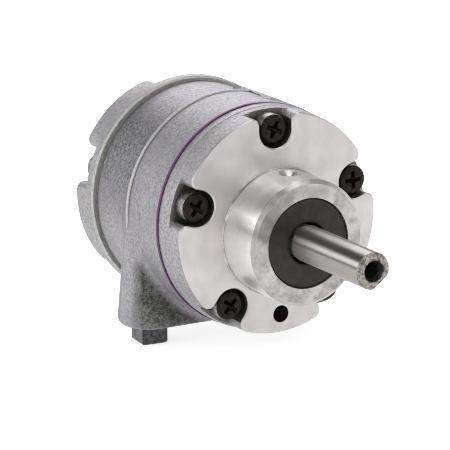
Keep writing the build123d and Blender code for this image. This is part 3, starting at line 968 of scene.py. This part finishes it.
def hub_root():
    """The small fillet between the hub and the machined face."""
    fillet = 0.5
    steps = 8
    outline = [(HUB_RADIUS - 0.2, 0.15), (HUB_RADIUS - 0.2, -fillet - 0.05)]
    for step in range(steps + 1):
        turn = math.pi / 2 * step / steps
        radius = HUB_RADIUS + fillet - fillet * math.cos(turn)
        outline.append((radius, -fillet + fillet * math.sin(turn)))
    outline.append((HUB_RADIUS + fillet, 0.15))
    finished("hub_root", lathe_mesh("hub_root", outline, 192), "housing", HUB_END)


FRONT_TWISTS = (-23.0, -36.0, -43.0, 35.0, 4.0)
REAR_TWISTS = (10.0, 40.0, -15.0, 25.0, 5.0)
plate_screws("drive_end_screws", "front_screws", FRONT_SEAT, 15.8, False, FRONT_TWISTS)
plate_screws("dead_end_screws", "rear_screws", REAR_SEAT, 14.8, True, REAR_TWISTS)
# The band's ridge is drawn in the lighter edge metal, a painted highlight
ridge("band_edge", BAND_RADIUS, BAND_REAR - 0.6, 0.42, 0.55, CAST_EDGE_HIGHLIGHT, gap=8.0)
ridge("plate_parting_line", PLATE_RADIUS, 7.4, 0.10, 0.18, CAST_PLATE)
pad_crevice_shadow()
hub_root()

FORWARD = (0.0, -1.0, 0.0)
DOWN = (0.0, 0.0, -1.0)
# The port's thread is painted dark as shade
thread(
    "port_thread", CAST_POCKET_SHADE, "housing", (*PORT, -19.4), DOWN,
    radius=PORT_RADIUS, length=8.0, pitch=0.94, depth=0.35,
)
thread(
    "tip_thread", GREASE_AND_SHADE, "rotor_assembly", (0.0, -34.5, 0.0), FORWARD,
    radius=TIP_HOLE_RADIUS, length=9.0, pitch=0.7, depth=0.28,
)
thread(
    "jack_thread", GREASE_AND_SHADE, "housing", (JACK_HOLE[0], 9.8, JACK_HOLE[1]), FORWARD,
    radius=JACK_RADIUS, length=9.2, pitch=0.8, depth=0.25,
)


# Camera, lights and floor

# The camera of the photograph, fitted to the circles of the face, the gasket and the seal: its
# direction, its distance, and how far the picture's centre lies right of and above the axis
CAMERA_AZIMUTH = -30.09
CAMERA_ELEVATION = 14.67
CAMERA_DISTANCE = 737.5
CAMERA_RIGHT = -13.86
CAMERA_UP = -0.43
LENS = 227.9

# Brightness of the studio over the angle from the right side, up over the motor, to the left side
WALLS = [
    (0.0, 1.4), (22.0, 1.1), (44.0, 0.4), (60.0, 0.9), (70.0, 2.0), (84.0, 2.0), (93.0, 0.8),
    (100.0, 0.15), (107.0, 0.0), (128.0, 0.0), (136.0, 0.25), (142.0, 1.3), (148.0, 2.6),
    (162.0, 2.6), (169.0, 1.0), (175.0, 0.05), (180.0, 0.0),
]
FRONT_WALL = (0.45, 0.45, 0.45)
LIGHT_TARGET = (0.0, 10.0, 0.0)


def look(eye, target):
    """The turn of a camera or a light at one place that looks at another."""
    return (target - eye).to_track_quat("-Z", "Y")


def make_camera():
    """The camera of the photograph."""
    azimuth = math.radians(CAMERA_AZIMUTH)
    elevation = math.radians(CAMERA_ELEVATION)
    back = Vector((
        math.cos(elevation) * math.sin(azimuth),
        -math.cos(elevation) * math.cos(azimuth),
        math.sin(elevation),
    ))
    right = Vector((math.cos(azimuth), math.sin(azimuth), 0.0))
    up = back.cross(right)
    centre = Vector((0.0, 0.0, CASTING_HEIGHT))
    eye = (centre + CAMERA_DISTANCE * back + CAMERA_RIGHT * right + CAMERA_UP * up) * MM
    data = bpy.data.cameras.new("camera")
    data.lens = LENS
    data.sensor_width = 36.0
    data.clip_start = 50.0 * MM
    data.clip_end = 20000.0 * MM
    camera = bpy.data.objects.new("camera", data)
    camera.location = eye
    camera.rotation_mode = "QUATERNION"
    camera.rotation_quaternion = look(eye, eye - back)
    bpy.context.scene.collection.objects.link(camera)
    bpy.context.scene.camera = camera


def soft_light(name, place_mm, size_mm, watts, color=WHITE):
    """A rectangular light that shines on the motor."""
    data = bpy.data.lights.new(name, "AREA")
    data.shape = "RECTANGLE"
    data.size = size_mm[0] * MM
    data.size_y = size_mm[1] * MM
    data.energy = watts
    data.color = color
    light = bpy.data.objects.new(name, data)
    light.location = Vector(place_mm) * MM
    light.rotation_mode = "QUATERNION"
    light.rotation_quaternion = look(light.location, Vector(LIGHT_TARGET) * MM)
    bpy.context.scene.collection.objects.link(light)


def walls_ramp(tree, value):
    """The brightness of the walls over a value that goes from 0 on the right to 1 on the left."""
    ramp = node(tree, "ShaderNodeValToRGB")
    tree.links.new(value, ramp.inputs["Fac"])
    stops = ramp.color_ramp.elements
    stops[0].position = 0.0
    stops[1].position = 1.0
    for degrees, _level in WALLS[1:-1]:
        stops.new(degrees / WALLS[-1][0])
    for stop, (_degrees, level) in zip(stops, WALLS):
        stop.color = (level, level, level, 1.0)
    return ramp.outputs["Color"]


def make_world():
    """A studio that is bright in front, with a dark ceiling and two long lamps behind it.

    It shows in reflections. Behind the motor the camera sees plain white.
    """
    world = bpy.data.worlds.new("studio")
    bpy.context.scene.world = world
    world.use_nodes = True
    tree = world.node_tree
    direction = tree.nodes.new("ShaderNodeTexCoord").outputs["Generated"]
    parts = channels(tree, direction)
    angle = combined(tree, "ARCTAN2", parts["Z"], parts["X"])
    sides = walls_ramp(tree, stretch(tree, angle, 0.0, math.pi))
    front = blend(tree, stretch(tree, parts["Z"], 0.15, 0.6), FRONT_WALL, WHITE)
    color = blend(tree, stretch(tree, parts["Y"], -0.6, -0.3), front, sides)
    seen = tree.nodes.new("ShaderNodeLightPath").outputs["Is Camera Ray"]
    color = blend(tree, seen, color, WHITE)
    tree.links.new(color, tree.nodes["Background"].inputs["Color"])
    tree.nodes["Background"].inputs["Strength"].default_value = 1.0


def make_floor():
    """A large pale floor just below the plug."""
    mesh = bpy.data.meshes.new("floor")
    half = 1500.0 * MM
    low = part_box("port_plug")[0].z - 0.1 * MM
    corners = [(-half, -half, low), (half, -half, low), (half, half, low), (-half, half, low)]
    mesh.from_pydata(corners, [], [(0, 1, 2, 3)])
    floor = bpy.data.objects.new("floor", mesh)
    bpy.context.scene.collection.objects.link(floor)
    material, tree, shader = material_tree("pale_floor")
    shade = stretch(tree, noise(tree, place(tree), 60.0), 0.3, 0.7)
    color = blend(tree, shade, (0.60, 0.60, 0.60), (0.62, 0.62, 0.62))
    tree.links.new(color, shader.inputs["Base Color"])
    shader.inputs["Roughness"].default_value = 0.8
    shader.inputs["Emission Color"].default_value = (*WHITE, 1.0)
    shader.inputs["Emission Strength"].default_value = 0.7
    mesh.materials.append(material)


make_camera()
make_world()
make_floor()
soft_light("back_light", (262.0, 620.0, 386.0), (360.0, 300.0), 1.35, (0.97, 0.93, 1.0))
soft_light("front_light", (60.0, -650.0, 420.0), (300.0, 300.0), 0.4)
soft_light("left_light", (-600.0, 0.0, 160.0), (300.0, 300.0), 0.35)

bpy.context.scene.view_settings.view_transform = "Standard"
bpy.context.scene.cycles.filter_width = 1.0
